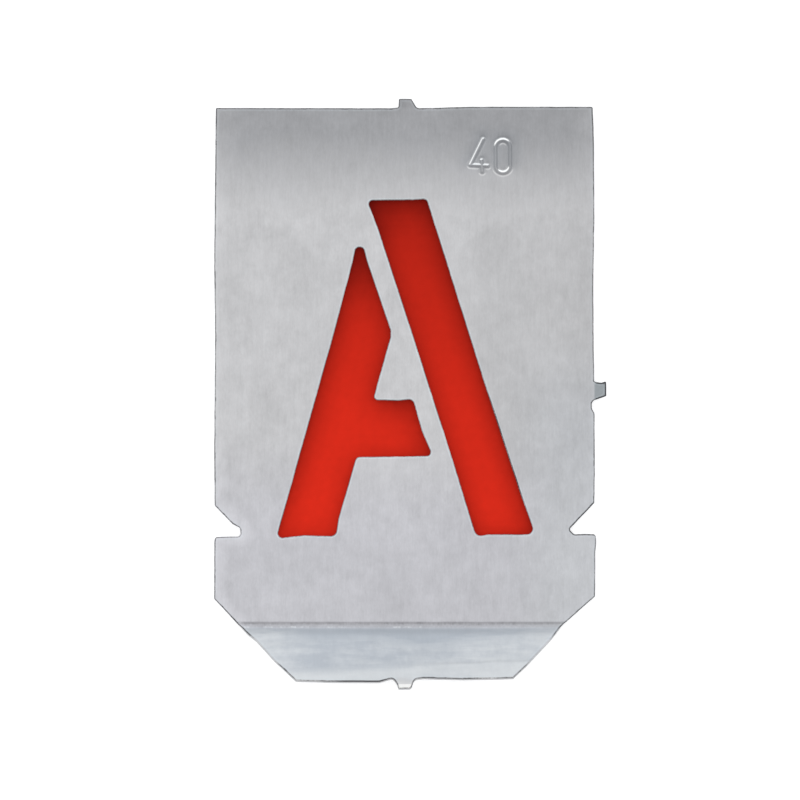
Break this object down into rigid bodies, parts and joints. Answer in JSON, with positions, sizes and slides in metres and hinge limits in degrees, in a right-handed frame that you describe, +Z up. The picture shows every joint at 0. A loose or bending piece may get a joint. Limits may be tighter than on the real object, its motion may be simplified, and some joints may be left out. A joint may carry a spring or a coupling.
{
  "type": "lettering stencil",
  "caption": "Stamped zinc lettering stencil with a cut-out capital, baseline notches and a bent-up grip lip, lying on a loose red backing card.",
  "frame": {"origin": "on the surface that the stencil lies on, on the plate's centreline, at the foot line of the letter", "axes": "+Y up the letter, +X to the right of a reader, +Z up from the surface; the lip lies towards -Y"},
  "size_m": [0.0468, 0.0706, 0.0043],
  "materials": {
    "zinc_sheet": "mill-finish zinc sheet with a fine upright rolling grain, dull and slightly mottled",
    "red_card": "matt, slightly fibrous red card"
  },
  "bodies": {
    "root": {"stencil_plate": "zinc_sheet", "backing_card": "red_card"}
  },
  "joints": []
}
